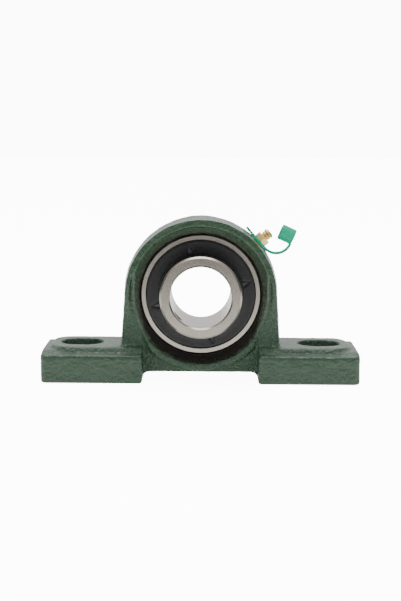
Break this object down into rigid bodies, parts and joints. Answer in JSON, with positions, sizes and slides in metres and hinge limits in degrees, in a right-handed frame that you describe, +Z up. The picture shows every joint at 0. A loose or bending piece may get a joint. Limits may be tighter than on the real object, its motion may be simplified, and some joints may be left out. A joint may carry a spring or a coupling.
{
  "type": "pillow block bearing",
  "caption": "Self-aligning ball bearing with an extended inner ring in a cast iron housing on two slotted feet, with a grease nipple and tethered cap.",
  "frame": {"origin": "on the base plane, midway between the two foot slots, under the bearing's centre", "axes": "+X along the base to the right, +Y along the shaft towards the back, +Z up from the base"},
  "size_m": [0.157, 0.0442, 0.0813],
  "materials": {
    "enamelled_iron": "glossy dark green enamel over a rough casting",
    "bearing_steel": "ground steel",
    "seal_rubber": "smooth black rubber",
    "black_steel": "black oxide, satin",
    "pressed_steel": "pressed sheet steel",
    "yellow_plating": "yellow passivated zinc plate",
    "green_plastic": "smooth moulded polyethylene"
  },
  "bodies": {
    "base": {"housing": "enamelled_iron", "grease_nipple": "yellow_plating", "nipple_spring": "pressed_steel", "cap_ring": "green_plastic", "cap_strap": "green_plastic"},
    "outer": {"outer_ring": "bearing_steel", "seal_front": "seal_rubber", "seal_back": "seal_rubber"},
    "inner": {"inner_ring": "bearing_steel", "slinger_front": "black_steel", "slinger_back": "black_steel"},
    "cage": {"cage_front": "pressed_steel", "cage_back": "pressed_steel", "cage_rivets": "pressed_steel"},
    "ball_1": {"ball_1": "bearing_steel"},
    "ball_2": {"ball_2": "bearing_steel"},
    "ball_3": {"ball_3": "bearing_steel"},
    "ball_4": {"ball_4": "bearing_steel"},
    "ball_5": {"ball_5": "bearing_steel"},
    "ball_6": {"ball_6": "bearing_steel"},
    "ball_7": {"ball_7": "bearing_steel"},
    "ball_8": {"ball_8": "bearing_steel"},
    "ball_9": {"ball_9": "bearing_steel"},
    "setscrew_1": {"setscrew_1": "black_steel"},
    "setscrew_2": {"setscrew_2": "black_steel"},
    "dust_cap": {"dust_cap": "green_plastic"},
    "check_ball": {"nipple_check_ball": "bearing_steel"}
  },
  "joints": [
    {"name": "bearing_align", "type": "hinge", "parent": "base", "child": "outer", "pos_m": [0, 0, 0.0429], "axis": [1, 0, 0], "range_deg": [-3, 3]},
    {"name": "inner_ring_spin", "type": "hinge", "parent": "outer", "child": "inner", "pos_m": [0, 0, 0.0429], "axis": [0, 1, 0], "continuous": true},
    {"name": "cage_spin", "type": "hinge", "parent": "outer", "child": "cage", "pos_m": [0, 0, 0.0429], "axis": [0, 1, 0], "continuous": true},
    {"name": "ball_1_spin", "type": "hinge", "parent": "cage", "child": "ball_1", "pos_m": [0, 0, 0.06588], "axis": [0, 1, 0], "continuous": true},
    {"name": "ball_2_spin", "type": "hinge", "parent": "cage", "child": "ball_2", "pos_m": [-0.01477, 0, 0.06051], "axis": [0, 1, 0], "continuous": true},
    {"name": "ball_3_spin", "type": "hinge", "parent": "cage", "child": "ball_3", "pos_m": [-0.02263, 0, 0.04689], "axis": [0, 1, 0], "continuous": true},
    {"name": "ball_4_spin", "type": "hinge", "parent": "cage", "child": "ball_4", "pos_m": [-0.0199, 0, 0.03141], "axis": [0, 1, 0], "continuous": true},
    {"name": "ball_5_spin", "type": "hinge", "parent": "cage", "child": "ball_5", "pos_m": [-0.00786, 0, 0.0213], "axis": [0, 1, 0], "continuous": true},
    {"name": "ball_6_spin", "type": "hinge", "parent": "cage", "child": "ball_6", "pos_m": [0.00786, 0, 0.0213], "axis": [0, 1, 0], "continuous": true},
    {"name": "ball_7_spin", "type": "hinge", "parent": "cage", "child": "ball_7", "pos_m": [0.0199, 0, 0.03141], "axis": [0, 1, 0], "continuous": true},
    {"name": "ball_8_spin", "type": "hinge", "parent": "cage", "child": "ball_8", "pos_m": [0.02263, 0, 0.04689], "axis": [0, 1, 0], "continuous": true},
    {"name": "ball_9_spin", "type": "hinge", "parent": "cage", "child": "ball_9", "pos_m": [0.01477, 0, 0.06051], "axis": [0, 1, 0], "continuous": true},
    {"name": "setscrew_1_travel", "type": "slide", "parent": "inner", "child": "setscrew_1", "axis": [0.1908, 0, -0.9816], "range_m": [-0.002, 0.0004]},
    {"name": "setscrew_2_travel", "type": "slide", "parent": "inner", "child": "setscrew_2", "axis": [0.7547, 0, 0.6561], "range_m": [-0.002, 0.0004]},
    {"name": "cap_swing", "type": "hinge", "parent": "base", "child": "dust_cap", "pos_m": [0.03766, 0, 0.06616], "axis": [0, -1, 0], "range_deg": [0, 66], "stiffness_Nm_per_rad": 0.0005, "deforming": ["cap_strap"]},
    {"name": "check_ball_travel", "type": "slide", "parent": "base", "child": "check_ball", "axis": [-0.749, 0, -0.6626], "range_m": [0, 0.001], "stiffness_N_per_m": 100, "springref_m": -0.001, "deforming": ["nipple_spring"]}
  ],
  "couplings": [
    {"joint": "cage_spin", "follows": "inner_ring_spin", "ratio": 0.39639},
    {"joint": "ball_1_spin", "follows": "inner_ring_spin", "ratio": -2.3093},
    {"joint": "ball_2_spin", "follows": "inner_ring_spin", "ratio": -2.3093},
    {"joint": "ball_3_spin", "follows": "inner_ring_spin", "ratio": -2.3093},
    {"joint": "ball_4_spin", "follows": "inner_ring_spin", "ratio": -2.3093},
    {"joint": "ball_5_spin", "follows": "inner_ring_spin", "ratio": -2.3093},
    {"joint": "ball_6_spin", "follows": "inner_ring_spin", "ratio": -2.3093},
    {"joint": "ball_7_spin", "follows": "inner_ring_spin", "ratio": -2.3093},
    {"joint": "ball_8_spin", "follows": "inner_ring_spin", "ratio": -2.3093},
    {"joint": "ball_9_spin", "follows": "inner_ring_spin", "ratio": -2.3093}
  ]
}
